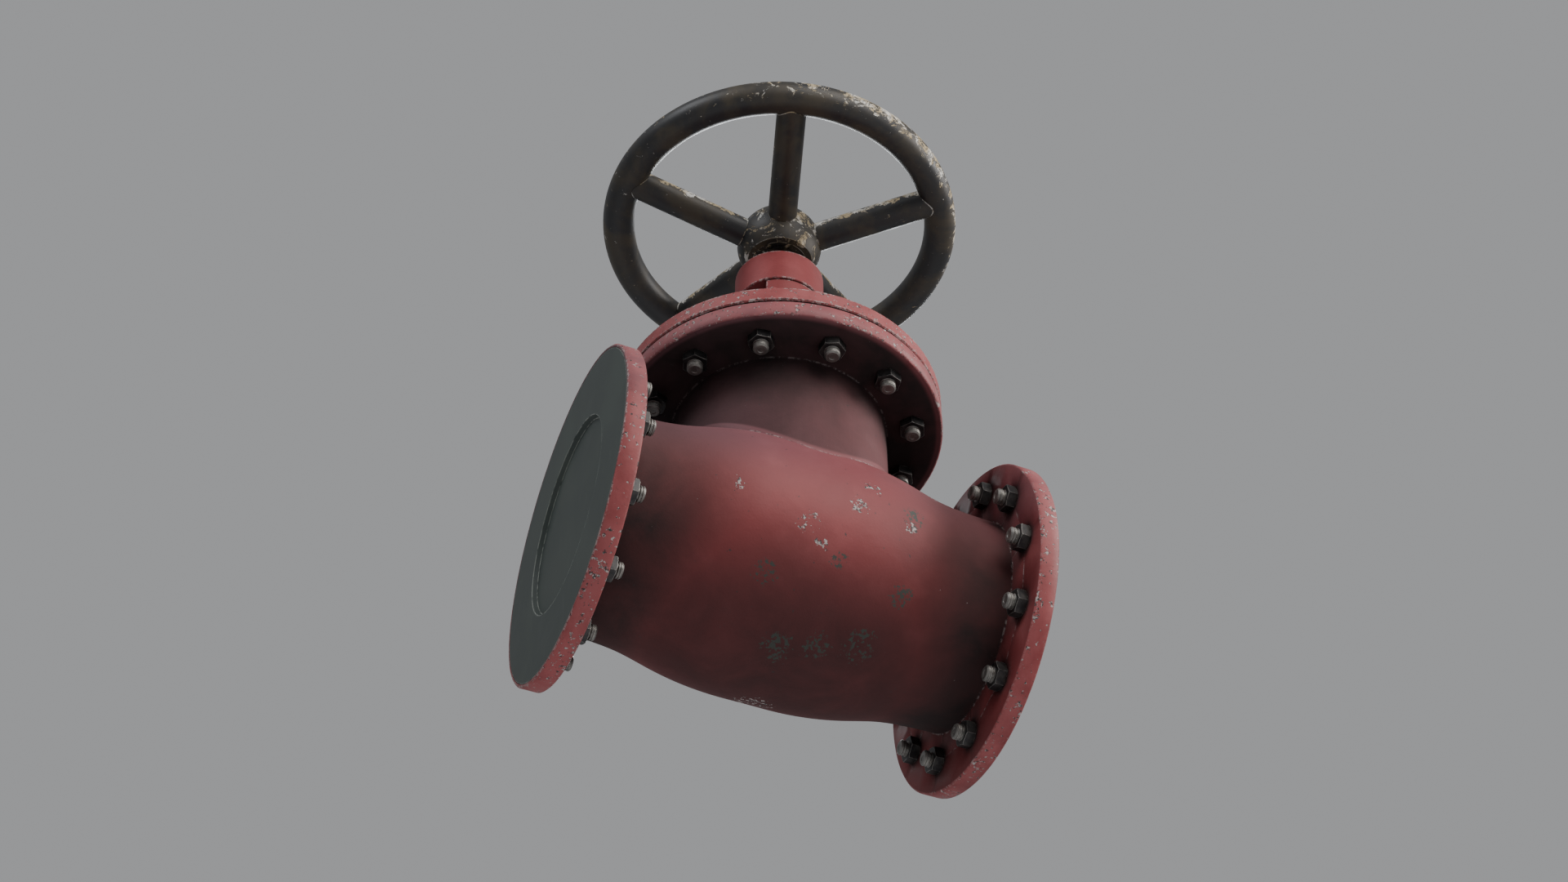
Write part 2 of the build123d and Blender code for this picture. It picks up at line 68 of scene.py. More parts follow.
STEM_SCREW = (0.322, 0.476)
BACKSEAT_COLLAR_Z = 0.160
WHEEL_SEAT_Z = HUB_LOW.z + 0.0114
WHEEL_THREAD_R = 0.010
GLAND_STUD_R = 0.005
FLANGE_BACK = 0.199
BARREL_R = 0.127

# Radii between which the mask of a turned flange rim comes in.
PIPE_RIM = (0.1675, 0.1690)
BONNET_RIM = (0.1665, 0.1682)

CAMERA_AT = Vector((-0.8848, -1.6056, -1.6077))
CAMERA_LOOKS_AT = Vector((-0.2492, -0.0860, 0.0937))
CAMERA_LENS_MM = 55.63
FLOOR_Z = -1.95
LIT_MIDDLE = Vector((STEM_X, 0.0, 0.2))


class Paint:
    """One material's node tree, with short helpers for its patterns."""

    def __init__(self, name):
        self.material = bpy.data.materials.new(name)
        self.material.use_nodes = True
        self.tree = self.material.node_tree
        self.tree.nodes.clear()
        output = self.add("ShaderNodeOutputMaterial")
        self.shader = self.add("ShaderNodeBsdfPrincipled")
        self.join(self.shader.outputs["BSDF"], output.inputs["Surface"])
        self.place = self.add("ShaderNodeTexCoord").outputs["Object"]

    def add(self, kind, **settings):
        node = self.tree.nodes.new(kind)
        for key, value in settings.items():
            setattr(node, key, value)
        return node

    def join(self, source, target):
        if isinstance(source, (int, float, tuple)):
            target.default_value = source
        else:
            self.tree.links.new(source, target)

    def noise(self, size, detail=4.0, rough=0.55, warp=0.0, place=None):
        """Cloudy pattern from 0 to 1 whose blotches are about size metres across."""
        node = self.add("ShaderNodeTexNoise")
        self.join(place or self.place, node.inputs["Vector"])
        node.inputs["Scale"].default_value = 1.0 / size
        node.inputs["Detail"].default_value = detail
        node.inputs["Roughness"].default_value = rough
        node.inputs["Distortion"].default_value = warp
        return node.outputs["Fac"]

    def stretched(self, x, y, z):
        """Object coordinates scaled along each axis, for streaks."""
        node = self.add("ShaderNodeMapping")
        self.join(self.place, node.inputs["Vector"])
        node.inputs["Scale"].default_value = (x, y, z)
        return node.outputs["Vector"]

    def math(self, operation, a, b=0.0, clamp=False):
        node = self.add("ShaderNodeMath", operation=operation, use_clamp=clamp)
        self.join(a, node.inputs[0])
        self.join(b, node.inputs[1])
        return node.outputs["Value"]

    def times(self, a, b):
        return self.math("MULTIPLY", a, b)

    def either(self, a, b):
        return self.math("MAXIMUM", a, b)

    def but_not(self, a):
        return self.math("SUBTRACT", 1.0, a, clamp=True)

    def rise(self, value, low, high):
        """0 below low, 1 above high, smooth between."""
        node = self.add("ShaderNodeMapRange", interpolation_type="SMOOTHSTEP")
        self.join(value, node.inputs["Value"])
        node.inputs["From Min"].default_value = low
        node.inputs["From Max"].default_value = high
        return node.outputs["Result"]

    def blend(self, factor, below, above):
        """Colour that goes from below to above."""
        node = self.add("ShaderNodeMix", data_type="RGBA")
        self.join(factor, node.inputs[0])
        self.join(colour(below), node.inputs[6])
        self.join(colour(above), node.inputs[7])
        return node.outputs[2]

    def along(self, axis):
        """Object coordinate along one axis, in metres."""
        node = self.add("ShaderNodeSeparateXYZ")
        self.join(self.place, node.inputs["Vector"])
        return node.outputs[axis]

    def radius(self, first, first_middle, second, second_middle):
        """Distance from a line along the third axis, in metres."""
        a = self.math("SUBTRACT", self.along(first), first_middle)
        b = self.math("SUBTRACT", self.along(second), second_middle)
        return self.math("SQRT", self.math("ADD", self.times(a, a), self.times(b, b)))

    def edges(self, radius, low, high):
        """1 on corners sharper than the given radius in metres."""
        round_over = self.add("ShaderNodeBevel", samples=6)
        round_over.inputs["Radius"].default_value = radius
        flat = self.add("ShaderNodeNewGeometry").outputs["Normal"]
        dot = self.add("ShaderNodeVectorMath", operation="DOT_PRODUCT")
        self.join(round_over.outputs["Normal"], dot.inputs[0])
        self.join(flat, dot.inputs[1])
        return self.rise(self.but_not(dot.outputs["Value"]), low, high)

    def hollows(self, distance, low, high):
        """1 deep in corners and gaps, 0 on open faces."""
        node = self.add("ShaderNodeAmbientOcclusion", samples=6)
        node.inputs["Distance"].default_value = distance
        return self.but_not(self.rise(node.outputs["AO"], low, high))

    def relief(self, heights, soften=0.0008):
        """Bump from (pattern, depth in metres) pairs over softened corners."""
        corner = self.add("ShaderNodeBevel", samples=6)
        corner.inputs["Radius"].default_value = soften
        normal = corner.outputs["Normal"]
        for pattern, depth in heights:
            bump = self.add("ShaderNodeBump")
            bump.inputs["Strength"].default_value = 1.0
            bump.inputs["Distance"].default_value = depth
            self.join(pattern, bump.inputs["Height"])
            self.join(normal, bump.inputs["Normal"])
            normal = bump.outputs["Normal"]
        self.join(normal, self.shader.inputs["Normal"])

    def finish(self, base, rough, metallic=0.0):
        self.join(base, self.shader.inputs["Base Color"])
        self.join(rough, self.shader.inputs["Roughness"])
        self.join(metallic, self.shader.inputs["Metallic"])
        return self.material


def colour(value):
    """RGB tuples gain an alpha, sockets pass through."""
    return (*value, 1.0) if isinstance(value, tuple) and len(value) == 3 else value


# Colours, linear.
RED_DEEP = (0.125, 0.020, 0.021)
RED_BODY = (0.205, 0.031, 0.033)
# Dusty red of random patches, also the painted highlight on the flange rims.
RED_DUST_AND_HIGHLIGHT = (0.36, 0.098, 0.100)
RED_FADED = (0.130, 0.062, 0.075)
# Near-black of the sooty cloud, also of the painted shade on the casting and in the paint's
# hollows.
GRIME_AND_SHADE = (0.016, 0.010, 0.010)
PRIMER = (0.36, 0.31, 0.30)
BARE_DARK = (0.030, 0.026, 0.026)
SCAB = (0.040, 0.044, 0.038)
WHEEL_BLACK = (0.008, 0.008, 0.009)
WHEEL_OLIVE = (0.038, 0.029, 0.017)
WHEEL_CREAM = (0.34, 0.27, 0.16)
WHEEL_WHITE = (0.52, 0.51, 0.48)
COVER_GREEN = (0.021, 0.032, 0.028)
COVER_SCUFF = (0.052, 0.066, 0.056)
STEEL_DARK = (0.034, 0.034, 0.036)
STEEL_LIGHT = (0.25, 0.24, 0.225)
STEEL_RUBBED = (0.45, 0.43, 0.40)
RUST = (0.055, 0.024, 0.012)
COVER_EDGE = (0.34, 0.36, 0.32)
IRON_DARK = (0.030, 0.027, 0.025)
IRON_LIGHT = (0.10, 0.085, 0.075)

PAINT_SPECULAR = 0.34
HUB_WEAR = 0.45

# Chipped places on the barrel: metres along it from the stem axis, degrees round it
# from the front (+90 underneath), and reach in metres.
CHIPPED = [
    (-0.020, 20, 0.020), (-0.005, 27, 0.014), (0.030, 5, 0.017), (0.045, -8, 0.017),
    (0.085, 6, 0.014), (-0.090, 10, 0.015), (-0.070, 205, 0.030), (0.070, 165, 0.034),
    (0.000, 120, 0.034),
]
SCABBED = [
    (-0.050, 45, 0.022), (-0.015, 75, 0.028), (0.020, 70, 0.024), (0.060, 65, 0.030),
    (0.085, 40, 0.022), (-0.070, 140, 0.030), (0.090, 0, 0.022), (0.015, 32, 0.016),
]

# The CAD nodes of the one real casting, then the nodes that take each finish.
CASTING = [
    "body_barrel", "body_barrel_inlet_end", "body_barrel_outlet_end", "body_neck",
    "body_bonnet_flange", "body_inlet_flange", "body_outlet_flange",
]
FINISHES = {
    "red_body": CASTING,
    "red_bonnet": ["bonnet_cover", "yoke", "seat_bridge"],
    "wheel_rim": ["handwheel_rim"],
    "wheel_spokes": ["handwheel_spokes"],
    "wheel_hub": ["handwheel_hub"],
    "cover_plastic": ["inlet_cover"],
    "nut_steel": [
        "inlet_nuts", "outlet_nuts", "bonnet_nuts_lower", "bonnet_nuts_upper", "yoke_bolts",
        "gland_nuts", "wheel_nut", "wheel_washer", "wheel_key", "stem_nut_screw",
    ],
    "stud_steel": ["inlet_studs", "outlet_studs", "bonnet_studs", "gland_studs"],
    "stem_steel": ["stem"],
    "disc_steel": ["disc", "disc_retainer"],
    "bronze": ["seat_ring", "backseat_bush", "stem_nut"],
    "gland_iron": ["gland_follower"],
    "graphite": ["packing_rings", "bonnet_gasket"],
    "seal_rubber": ["disc_face_ring"],
}
MATERIALS = {}


def on_barrel(along, turn):
    """Point on the barrel at a distance from the stem axis and an angle round the pipe."""
    turn = math.radians(turn)
    return (STEM_X + along, -BARREL_R * math.cos(turn), -BARREL_R * math.sin(turn))


def patches(p, places):
    """1 at the middle of each place on the barrel, 0 outside them all."""
    mask = 0.0
    for along, turn, reach in places:
        gap = p.add("ShaderNodeVectorMath", operation="DISTANCE")
        p.join(p.place, gap.inputs[0])
        p.join(on_barrel(along, turn), gap.inputs[1])
        mask = p.either(mask, p.but_not(p.rise(gap.outputs["Value"], reach * 0.35, reach)))
    return mask


def scatter(p, places, size):
    """Flecks that crowd together towards the middle of each place."""
    thick = p.math("ADD", 0.07, p.times(p.noise(0.016, 3, 0.6), 0.30))
    crowd = p.times(patches(p, places), thick)
    return p.rise(p.math("ADD", p.noise(size, 4, 0.66), crowd), 0.745, 0.755)


def flange_rims(p):
    """1 on the turned rims of the pipe flanges and the bonnet joint."""
    offset = p.math("ABSOLUTE", p.math("SUBTRACT", p.along("X"), STEM_X))
    at_ends = p.rise(offset, FLANGE_BACK - 0.0005, FLANGE_BACK + 0.0005)
    pipe = p.times(p.rise(p.radius("Y", 0.0, "Z", 0.0), *PIPE_RIM), at_ends)
    high = p.rise(p.along("Z"), BONNET_Z - 0.006, BONNET_Z - 0.003)
    bonnet = p.times(p.rise(p.radius("X", STEM_X, "Y", 0.0), *BONNET_RIM), high)
    return p.either(p.times(pipe, p.but_not(high)), bonnet)


def painted_shade_places(p):
    """Painted shade at the barrel's ends and underside, on the neck and under the bonnet
    flange, lifted by a painted lit band low on the neck's outlet side.
    """
    offset = p.math("ABSOLUTE", p.math("SUBTRACT", p.along("X"), STEM_X))
    height = p.along("Z")
    barrel = p.but_not(p.rise(offset, FLANGE_BACK - 0.0005, FLANGE_BACK + 0.001))
    low_side = p.but_not(p.rise(height, -0.075, 0.075))
    # Painted shade: the barrel darker towards its ends, most on their lower half.
    ends = p.times(p.rise(offset, 0.045, 0.170), p.math("ADD", 0.50, p.times(low_side, 0.48)))
    # Painted shade on the barrel's underside.
    belly = p.times(p.but_not(p.rise(height, -0.140, -0.025)), 0.84)
    # Painted shade on the neck, deepest under the bonnet flange.
    neck = p.times(p.rise(p.radius("Y", 0.0, "Z", 0.0), 0.1303, 0.1335), barrel)
    neck = p.times(neck, p.math("ADD", 0.72, p.times(p.rise(height, 0.115, BONNET_Z), 0.28)))
    # Painted light: a lit band low on the neck's outlet side takes away some of its painted
    # shade.
    lit_outlet_side = p.rise(p.along("X"), STEM_X, STEM_X + 0.11)
    lit_band = p.times(lit_outlet_side, p.but_not(p.rise(height, 0.125, 0.180)))
    below_joint = p.but_not(p.rise(height, BONNET_Z, BONNET_Z + 0.001))
    inside_rim = p.but_not(p.rise(p.radius("X", STEM_X, "Y", 0.0), 0.160, 0.1675))
    neck = p.times(neck, p.but_not(p.times(lit_band, 0.38)))
    neck = p.times(neck, p.times(below_joint, inside_rim))
    return p.either(p.times(p.either(ends, belly), barrel), neck)


def red_paint(name, casting):
    """Dusty red-oxide paint with a sooty cloud, painted shade in its hollows and a painted
    highlight on its flange rims. The casting also has painted shade at its ends, underside,
    neck and under the bonnet flange, faded flanks and chipped places.
    """
    p = Paint(name)
    broad = p.noise(0.22, 2, 0.45)
    middle = p.noise(0.045, 4, 0.55)
    fine = p.noise(0.004, 4, 0.6)
    base = p.blend(p.times(p.rise(broad, 0.34, 0.68), 0.7), RED_BODY, RED_DEEP)
    base = p.blend(p.times(p.rise(middle, 0.45, 0.8), 0.28), base, RED_DUST_AND_HIGHLIGHT)
    base = p.blend(p.times(p.rise(fine, 0.5, 0.8), 0.20), base, RED_DEEP)
    soot_and_painted_shade = p.times(p.rise(p.noise(0.09, 4, 0.55, warp=0.4), 0.50, 0.78), 0.30)
    if casting:
        toward_inlet = p.but_not(p.rise(p.along("X"), STEM_X - 0.11, STEM_X + 0.05))
        strength = p.math("ADD", 0.40, p.times(toward_inlet, 0.35))
        faded = p.times(p.rise(p.along("Z"), -0.030, 0.060), strength)
        base = p.blend(faded, base, RED_FADED)
        # Painted shade at the casting's ends, underside and neck and under the bonnet flange,
        # broken up by a cloud.
        cloud = p.math("ADD", 0.62, p.times(p.noise(0.06, 4, 0.6, warp=0.4), 0.6), clamp=True)
        soot_and_painted_shade = p.either(soot_and_painted_shade, p.times(painted_shade_places(p), cloud))
    rims = flange_rims(p)
    # Painted highlight: the flange rims lighter in patches and mostly clear of the painted
    # shade.
    patchy_rim_highlight = p.times(p.rise(p.noise(0.05, 4, 0.6), 0.25, 0.60), 0.5)
    base = p.blend(p.times(rims, patchy_rim_highlight), base, RED_DUST_AND_HIGHLIGHT)
    soot_and_painted_shade = p.times(soot_and_painted_shade, p.but_not(p.times(rims, 0.8)))
    # Painted shade deep in corners and gaps.
    soot_and_painted_shade = p.either(soot_and_painted_shade, p.times(p.hollows(0.03, 0.35, 0.95), 0.85))
    # The sooty cloud and the painted shade darken the paint towards near-black.
    base = p.blend(soot_and_painted_shade, base, GRIME_AND_SHADE)
    speck = p.times(p.rise(p.noise(0.006, 3, 0.6), 0.70, 0.74), 0.8)
    base = p.blend(speck, base, BARE_DARK)
    fleck = p.noise(0.0052, 5, 0.68)
    lone = p.rise(p.noise(0.0075, 3, 0.6), 0.785, 0.795)
    corner = p.edges(0.0030, 0.004, 0.035)
    worn = p.times(corner, p.rise(p.noise(0.014, 5, 0.72), 0.45, 0.53))
    crowd = p.math("ADD", fleck, p.times(p.noise(0.05, 2, 0.5), 0.25))
    rim_chips = p.times(rims, p.rise(crowd, 0.72, 0.735))
    chips = p.times(p.either(p.either(lone, worn), rim_chips), p.but_not(p.times(soot_and_painted_shade, 0.7)))
    if casting:
        chips = p.either(chips, scatter(p, CHIPPED, 0.0048))
        scabs = scatter(p, SCABBED, 0.0042)
        base = p.blend(scabs, base, SCAB)
    under = p.blend(p.rise(p.noise(0.003, 2, 0.5), 0.40, 0.55), BARE_DARK, PRIMER)
    base = p.blend(chips, base, under)
    rough = p.math("ADD", 0.47, p.times(middle, 0.18))
    rough = p.math("ADD", rough, p.times(soot_and_painted_shade, 0.34), clamp=True)
    p.shader.inputs["Specular IOR Level"].default_value = PAINT_SPECULAR
    lumps, skin = p.noise(0.018, 3, 0.5), p.noise(0.0022, 3, 0.6)
    p.relief([(lumps, 0.0004), (skin, 0.0001), (p.but_not(chips), 0.00025)])
    return p.finish(base, rough)


def wheel_paint(name, wear):
    """Black paint over cream primer. wear gives where it has gone, from 0 to 1."""
    p = Paint(name)
    cloud = p.noise(0.05, 5, 0.62, warp=0.5)
    base = p.blend(p.rise(cloud, 0.40, 0.66), WHEEL_BLACK, WHEEL_OLIVE)
    patch = p.math("ADD", p.noise(0.017, 7, 0.72, warp=1.2), p.times(wear(p), 0.23))
    worn = p.times(p.rise(patch, 0.655, 0.70), p.rise(p.noise(0.003, 4, 0.7), 0.36, 0.52))
    fleck = p.rise(p.noise(0.005, 4, 0.65), 0.70, 0.715)
    corner = p.times(p.edges(0.002, 0.02, 0.12), p.rise(p.noise(0.01, 4, 0.7), 0.42, 0.52))
    chips = p.either(p.either(worn, p.times(fleck, 0.8)), corner)
    under = p.blend(p.rise(p.noise(0.02, 4, 0.6), 0.42, 0.62), WHEEL_CREAM, WHEEL_WHITE)
    base = p.blend(chips, base, under)
    rough = p.math("ADD", 0.34, p.times(cloud, 0.35))
    rough = p.math("ADD", rough, p.times(chips, 0.18), clamp=True)
    p.relief([(p.noise(0.0025, 3, 0.6), 0.0001), (p.but_not(chips), 0.0003)])
    return p.finish(base, rough)


def rim_wear(p):
    """Hands have worn the rim's outside, most of all on one quarter of the wheel."""
    reach = p.radius("X", STEM_X, "Y", 0.0)
    outward = p.math("DIVIDE", p.math("SUBTRACT", reach, RIM_RADIUS), RIM_TUBE)
    upward = p.math("DIVIDE", p.math("SUBTRACT", p.along("Z"), RIM_Z), RIM_TUBE)
    facing = p.rise(p.math("ADD", p.times(outward, 0.75), p.times(upward, 0.45)), -0.25, 0.85)
    side_x = p.times(p.math("SUBTRACT", p.along("X"), STEM_X), math.cos(WORN_SIDE) / RIM_RADIUS)
    side_y = p.times(p.along("Y"), math.sin(WORN_SIDE) / RIM_RADIUS)
    side = p.rise(p.math("ADD", side_x, side_y), 0.15, 0.9)
    return p.times(facing, p.math("ADD", 0.25, p.times(side, 0.62)))


def upper_wear(p):
    """The spokes are rubbed along their upper flanks, less on the very top."""
    parts = p.add("ShaderNodeSeparateXYZ")
    p.join(p.add("ShaderNodeNewGeometry").outputs["Normal"], parts.inputs["Vector"])
    up = parts.outputs["Z"]
    crest = p.math("SUBTRACT", 0.92, p.times(p.rise(up, 0.2, 0.8), 0.45))
    return p.times(p.rise(up, -0.40, 0.25), crest)


def cover_plastic():
    """Dark grey-green moulded cover, smudged and scuffed light at its rims; these light edges
    are partly a painted highlight.
    """
    p = Paint("cover_plastic")
    cloud = p.noise(0.11, 4, 0.55, warp=0.4)
    base = p.blend(p.times(p.rise(cloud, 0.38, 0.7), 0.55), COVER_GREEN, COVER_SCUFF)
    swirl = p.noise(0.012, 3, 0.6, place=p.stretched(1.0, 1.0, 0.25))
    base = p.blend(p.times(p.rise(swirl, 0.58, 0.72), 0.22), base, COVER_SCUFF)
    # Scuffed edges, partly a painted highlight along the rims of the recess ring.
    corner = p.times(p.edges(0.0018, 0.02, 0.12), p.rise(p.noise(0.014, 4, 0.65), 0.36, 0.52))
    base = p.blend(corner, base, COVER_EDGE)
    rough = p.math("ADD", 0.46, p.times(cloud, 0.26))
    p.relief([(p.noise(0.0012, 2, 0.5), 0.00005), (swirl, 0.00008)])
    return p.finish(base, rough)


def fastener_steel(name, dark, light, wear):
    """Oxidised steel: dark flats, corners rubbed bright, a little rust in the recesses."""
    p = Paint(name)
    cloud = p.noise(0.009, 4, 0.6)
    base = p.blend(p.rise(cloud, 0.35, 0.7), dark, light)
    rust = p.times(p.hollows(0.006, 0.3, 0.9), p.rise(p.noise(0.004, 4, 0.6), 0.40, 0.62))
    base = p.blend(p.times(rust, 0.6), base, RUST)
    corner = p.times(p.edges(0.0009, 0.02, 0.12), p.rise(p.noise(0.005, 3, 0.6), 0.34, 0.55))
    base = p.blend(p.times(corner, wear), base, STEEL_RUBBED)
    rough = p.math("ADD", 0.34, p.times(cloud, 0.34))
    p.relief([(p.noise(0.0012, 3, 0.6), 0.00008)], soften=0.0005)
    return p.finish(base, rough, 0.85)


def turned_metal(name, dark, light, roughness):
    """Machined metal with fine rings from the lathe and dull stains."""
    p = Paint(name)
    stain = p.noise(0.02, 4, 0.6, warp=0.5)
    base = p.blend(p.rise(stain, 0.35, 0.7), dark, light)
    lathe = p.noise(0.0012, 2, 0.5, place=p.stretched(0.05, 0.05, 1.0))
    rough = p.math("ADD", roughness, p.times(stain, 0.2))
    p.relief([(lathe, 0.00004)], soften=0.0004)
    return p.finish(base, rough, 0.95)


def bare_iron():
    """Oiled grey iron of the gland."""
    p = Paint("gland_iron")
    cloud = p.noise(0.012, 5, 0.6)
    base = p.blend(p.rise(cloud, 0.35, 0.7), IRON_DARK, IRON_LIGHT)
    rough = p.math("ADD", 0.42, p.times(cloud, 0.3))
    p.relief([(p.noise(0.002, 4, 0.6), 0.0002)])
    return p.finish(base, rough, 0.6)


def dull_stuff(name, dark, light):
    """Graphite, gasket and rubber: matte and speckled."""
    p = Paint(name)
    cloud = p.noise(0.006, 5, 0.65)
    base = p.blend(p.rise(cloud, 0.35, 0.7), dark, light)
    p.relief([(p.noise(0.0015, 3, 0.6), 0.00012)])
    return p.finish(base, p.math("ADD", 0.62, p.times(cloud, 0.25)))


def lathe_mesh(name, profile, segments):
    """Turned surface about Z from (radius, z) points; a radius of 0 closes an end."""
    verts, faces = [], []
    for radius, z in profile:
        for i in range(segments):
            turn = 2 * math.pi * i / segments
            verts.append((radius * math.cos(turn), radius * math.sin(turn), z))
    for row in range(len(profile) - 1):
        for i in range(segments):
            j = (i + 1) % segments
            a, b = row * segments, (row + 1) * segments
            faces.append((a + i, a + j, b + j, b + i))
    mesh = bpy.data.meshes.new(name)
    mesh.from_pydata(verts, [], faces)
    mesh.validate()
    return mesh


def cut_thread(mesh, low, high, radius, depth, pitch, flat):
    """Press a helical thread into a turned mesh between two heights."""
    for vert in mesh.vertices:
        r = math.hypot(vert.co.x, vert.co.y)
        if not low <= vert.co.z <= high or r < radius * 0.97:
            continue
        turn = math.atan2(vert.co.y, vert.co.x) / (2 * math.pi)
        phase = (vert.co.z / pitch - turn) % 1.0
        ridge = abs(phase - 0.5) * 2
        sink = min(1.0, max(0.0, (ridge - flat) / (1.0 - 2 * flat)))
        fade = min(1.0, (vert.co.z - low) / pitch, (high - vert.co.z) / pitch)
        scale = 1 - depth * sink * max(0.0, fade) / r
        vert.co.x *= scale
        vert.co.y *= scale


def threaded_profile(points, low, high, step):
    """Profile with extra rows wherever the thread runs, so that it can be cut."""
    rows = []
    for (r0, z0), (r1, z1) in zip(points, points[1:]):
        rows.append((r0, z0))
        if r0 == r1 and z0 <= low + 1e-6 and z1 >= high - 1e-6:
            count = round((high - low) / step)
            rows += [(r0, low + (high - low) * i / count) for i in range(count + 1)]
    rows.append(points[-1])
    return rows


def join_copies(name, mesh, places):
    """One object holding a copy of mesh at each place."""
    verts, faces = [], []
    for place in places:
        start = len(verts)
        verts += [place @ v.co for v in mesh.vertices]
        faces += [[start + i for i in face.vertices] for face in mesh.polygons]
    whole = bpy.data.meshes.new(name)
    whole.from_pydata(verts, [], faces)
    whole.validate()
    return add_object(name, whole)


def add_object(name, mesh):
    piece = bpy.data.objects.new(name, mesh)
    bpy.context.scene.collection.objects.link(piece)
    return piece


def smooth(piece):
    """Smooth shading that keeps corners sharper than 35 degrees."""
    piece.data.shade_smooth()
    piece.data.set_sharp_from_angle(angle=math.radians(35))


def stud_mesh(seat, length):
    """Stud from z 0: seat and nut length, necked, then a threaded and bevelled end."""
    nut_end = seat + NUT_H
    low, high = nut_end + 0.0030, length - 0.0016
    neck_r, tip_r = 0.0066, STUD_R - 0.0016
    points = [
        (0.0, 0.0), (STUD_R, 0.0), (STUD_R, nut_end), (neck_r, nut_end + 0.0008),
        (neck_r, nut_end + 0.0022), (STUD_R, low), (STUD_R, high),
        (tip_r, length), (tip_r * 0.55, length), (tip_r * 0.45, length - 0.0005),
        (0.0, length - 0.0005),
    ]
    mesh = lathe_mesh("stud", threaded_profile(points, low, high, THREAD_PITCH / 8), 28)
    cut_thread(mesh, low, high, STUD_R, 0.0009, THREAD_PITCH, 0.12)
    return mesh


def flange_places(x, facing):
    """Where a stud's own z 0 goes on a pipe flange, pointing along facing X."""
    low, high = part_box("outlet_studs")
    ring = (high.y - low.y) / 2 - STUD_R
    places = []
    for i in range(BOLT_COUNT):
        turn = 2 * math.pi * i / BOLT_COUNT
        spot = Matrix.Translation((x, ring * math.cos(turn), ring * math.sin(turn)))
        spin = Matrix.Rotation(i * 1.1, 4, "Z")
        places.append(spot @ Matrix.Rotation(math.radians(90 * facing), 4, "Y") @ spin)
    return places


def bonnet_places(z):
    """Where both halves of each bonnet stud start."""
    low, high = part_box("bonnet_studs")
    ring = (high.y - low.y) / 2 - STUD_R
    places = []
    for i in range(BOLT_COUNT):
        turn = 2 * math.pi * i / BOLT_COUNT
        spot = Matrix.Translation((STEM_X + ring * math.cos(turn), ring * math.sin(turn), z))
        spin = Matrix.Rotation(i * 0.9, 4, "Z")
        places += [spot @ spin, spot @ Matrix.Rotation(math.pi, 4, "X") @ spin]
    return places


def make_studs():
    """Threaded studs in place of the plain CAD ones."""
    for node, facing in (("outlet_studs", -1), ("inlet_studs", 1)):
        low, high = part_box(node)
        start = high.x if facing < 0 else low.x
        length = high.x - low.x
        mesh = stud_mesh(length - STUD_OUT, length)
        piece = join_copies(node + "_threaded", mesh, flange_places(start, facing))
        dress(piece, "stud_steel", node)
    low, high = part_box("bonnet_studs")
    half = (high.z - low.z) / 2
    mesh = stud_mesh(half - STUD_OUT, half)
    piece = join_copies("bonnet_studs_threaded", mesh, bonnet_places((high.z + low.z) / 2))
    dress(piece, "stud_steel", "bonnet_studs")


def make_gland_studs():
    """Threaded gland studs."""
    low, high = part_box("gland_studs")
    length = high.z - low.z
    reach = (high.x - low.x) / 2 - GLAND_STUD_R
    start, end = length * 0.5, length - 0.001
    points = [
        (0.0, 0.0), (GLAND_STUD_R, 0.0), (GLAND_STUD_R, start), (GLAND_STUD_R, end),
        (GLAND_STUD_R - 0.001, length), (0.0, length),
    ]
    mesh = lathe_mesh("gland_stud", threaded_profile(points, start, end, THREAD_PITCH / 8), 24)
    cut_thread(mesh, start, end, GLAND_STUD_R, 0.0007, THREAD_PITCH, 0.12)
    places = [Matrix.Translation((STEM_X + side * reach, 0, low.z)) for side in (-1, 1)]
    dress(join_copies("gland_studs_threaded", mesh, places), "stud_steel", "gland_studs")


def make_stem():
    """Stem with its trapezoidal thread, collar and wheel seat."""
    rod, top = STEM_LOW.z, STEM_HIGH.z
    button, seat, collar = 0.022, 0.01198, 0.021
    collar_z, seat_z, nut_z = BACKSEAT_COLLAR_Z, WHEEL_SEAT_Z, HUB_HIGH.z - 0.001
    nut_r = WHEEL_THREAD_R
    points = [
        (0.0, rod), (button - 0.001, rod), (button, rod + 0.001), (button, rod + 0.010),
        (STEM_R, rod + 0.010), (STEM_R, collar_z), (collar, collar_z + 0.004),
        (collar, collar_z + 0.012), (STEM_R, collar_z + 0.017), (STEM_R, STEM_SCREW[0] - 0.004),
        (STEM_R, seat_z - 0.001), (STEM_R - 0.001, seat_z), (seat, seat_z), (seat, nut_z),
        (nut_r, nut_z), (nut_r, top - 0.0015), (nut_r - 0.0015, top),
        (0.003, top), (0.0015, top - 0.0015), (0.0, top - 0.0015),
    ]
    nut_screw = (nut_z + 0.002, top - 0.002)
    rows = threaded_profile(points, *STEM_SCREW, STEM_PITCH / 10)
    rows = threaded_profile(rows, *nut_screw, THREAD_PITCH / 8)
    mesh = lathe_mesh("stem_turned", rows, 56)
    cut_thread(mesh, *STEM_SCREW, STEM_R, 0.0030, STEM_PITCH, 0.30)
    cut_thread(mesh, *nut_screw, nut_r, 0.0010, THREAD_PITCH, 0.12)
    mesh.transform(Matrix.Translation((STEM_X, 0, 0)))
    dress(add_object("stem_threaded", mesh), "stem_steel", "stem")


def make_casting():
    """One seamless skin over the lengths that the CAD model holds the casting as."""
    skin = bmesh.new()
    for node in CASTING:
        skin.from_mesh(frame["nodes"][node].data)
    bmesh.ops.remove_doubles(skin, verts=skin.verts, dist=1e-5)
    hidden = [face for face in skin.faces if on_barrel_joint(face)]
    bmesh.ops.delete(skin, geom=hidden, context="FACES")
    mesh = bpy.data.meshes.new("casting_skin")
    skin.to_mesh(mesh)
    skin.free()
    dress(add_object("casting_skin", mesh), "red_body", *CASTING)


def on_barrel_joint(face):
    """Whether a face lies in one of the planes where two lengths of barrel meet."""
    return any(all(abs(v.co.x - x) < 1e-5 for v in face.verts) for x in BARREL_JOINTS)


